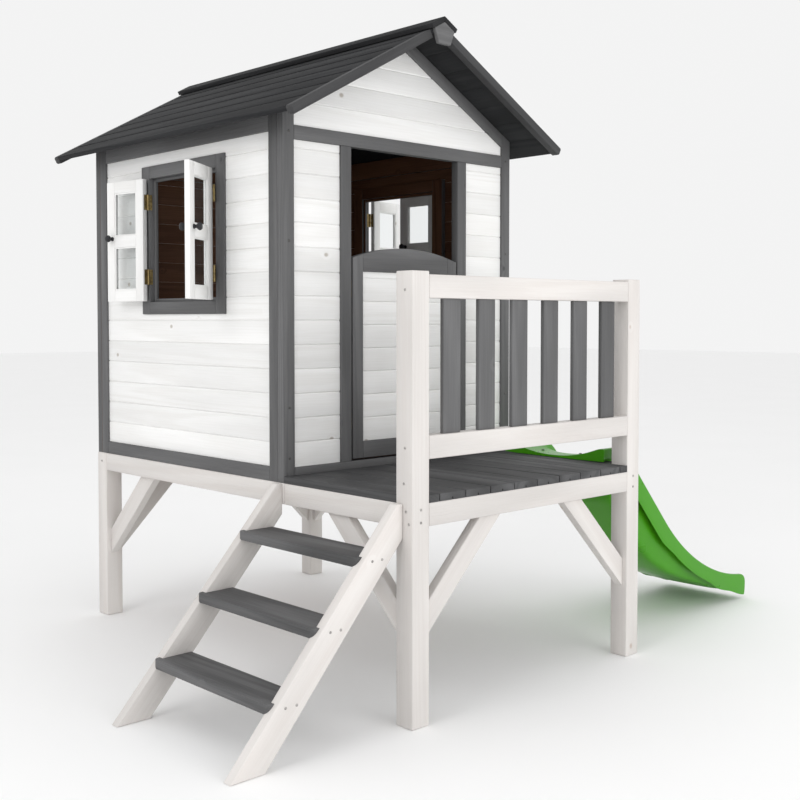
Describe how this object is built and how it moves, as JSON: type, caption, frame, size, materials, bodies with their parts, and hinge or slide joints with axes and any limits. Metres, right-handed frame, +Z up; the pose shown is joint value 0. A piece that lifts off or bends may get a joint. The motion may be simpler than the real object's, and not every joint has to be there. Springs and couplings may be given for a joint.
{
  "type": "raised playhouse",
  "caption": "Wooden garden playhouse on four legs, with a railed deck, ladder, half door, opening casement windows, a pitched board roof and a moulded slide.",
  "frame": {"origin": "on the ground, in the middle of the whole outline from ladder foot to slide tip and from railing to rear ridge end", "axes": "+X towards the slide, +Y from the railing to the back wall, +Z up"},
  "size_m": [2.304, 1.6968, 1.8812],
  "materials": {
    "washed_timber": "white wash, matt",
    "white_timber": "painted, matt",
    "grey_timber": "painted, matt",
    "dark_grey_timber": "stained, matt",
    "bare_timber": "stained, matt",
    "slide_plastic": "semi-gloss",
    "clear_pane": "clear",
    "knob_paint": "painted, satin",
    "brass": "satin",
    "steel": "satin"
  },
  "bodies": {
    "house": {"leg_rear_left": "washed_timber", "leg_rear_right": "washed_timber", "post_front_left": "washed_timber", "post_front_right": "washed_timber", "beam_front": "washed_timber", "beam_middle": "washed_timber", "beam_rear": "washed_timber", "deck_side_beams": "washed_timber", "house_side_beams": "washed_timber", "braces": "washed_timber", "deck_boards": "dark_grey_timber", "floor_boards": "bare_timber", "railing_rails": "washed_timber", "railing_slats": "grey_timber", "front_wall_frame": "grey_timber", "front_wall_boards": "white_timber", "front_gable_boards": "white_timber", "rear_wall_frame": "grey_timber", "rear_wall_boards": "white_timber", "rear_gable_boards": "white_timber", "left_wall_frame": "grey_timber", "left_wall_boards": "white_timber", "right_wall_frame": "grey_timber", "right_wall_boards": "white_timber", "left_window_frame": "grey_timber", "right_window_frame": "grey_timber", "hinge_fixed_leaves": "brass", "hinge_pins": "brass", "roof_boards_left": "dark_grey_timber", "roof_boards_right": "dark_grey_timber", "verge_boards": "dark_grey_timber", "roof_battens": "dark_grey_timber", "ridge_cap": "dark_grey_timber", "ridge_end_blocks": "grey_timber", "ladder_side_left": "washed_timber", "ladder_side_right": "washed_timber", "ladder_treads": "dark_grey_timber", "slide": "slide_plastic", "slide_screws": "steel", "wood_screws": "steel"},
    "left_near_window": {"left_near_casement": "white_timber", "left_near_panes": "clear_pane", "left_near_knob": "knob_paint", "left_near_hinge_leaves": "brass"},
    "left_far_window": {"left_far_casement": "white_timber", "left_far_panes": "clear_pane", "left_far_knob": "knob_paint", "left_far_hinge_leaves": "brass"},
    "right_near_window": {"right_near_casement": "white_timber", "right_near_panes": "clear_pane", "right_near_knob": "knob_paint", "right_near_hinge_leaves": "brass"},
    "right_far_window": {"right_far_casement": "white_timber", "right_far_panes": "clear_pane", "right_far_knob": "knob_paint", "right_far_hinge_leaves": "brass"},
    "door": {"door_hinge_leaves": "brass", "door_frame": "grey_timber", "door_boards": "white_timber"}
  },
  "joints": [
    {"name": "left_near_hinge", "type": "hinge", "parent": "house", "child": "left_near_window", "pos_m": [-0.64069, -0.00902, 1.255], "axis": [0, 0, 1], "range_deg": [-126, 46]},
    {"name": "left_far_hinge", "type": "hinge", "parent": "house", "child": "left_far_window", "pos_m": [-0.64069, 0.35977, 1.255], "axis": [0, 0, -1], "range_deg": [-172, 0]},
    {"name": "right_near_hinge", "type": "hinge", "parent": "house", "child": "right_near_window", "pos_m": [0.30331, -0.00902, 1.255], "axis": [0, 0, -1], "range_deg": [0, 172]},
    {"name": "right_far_hinge", "type": "hinge", "parent": "house", "child": "right_far_window", "pos_m": [0.30331, 0.35977, 1.255], "axis": [0, 0, 1], "range_deg": [-103, 69]},
    {"name": "door_hinge", "type": "hinge", "parent": "house", "child": "door", "pos_m": [-0.38669, -0.30362, 0.891], "axis": [0, 0, 1], "range_deg": [0, 105]}
  ]
}
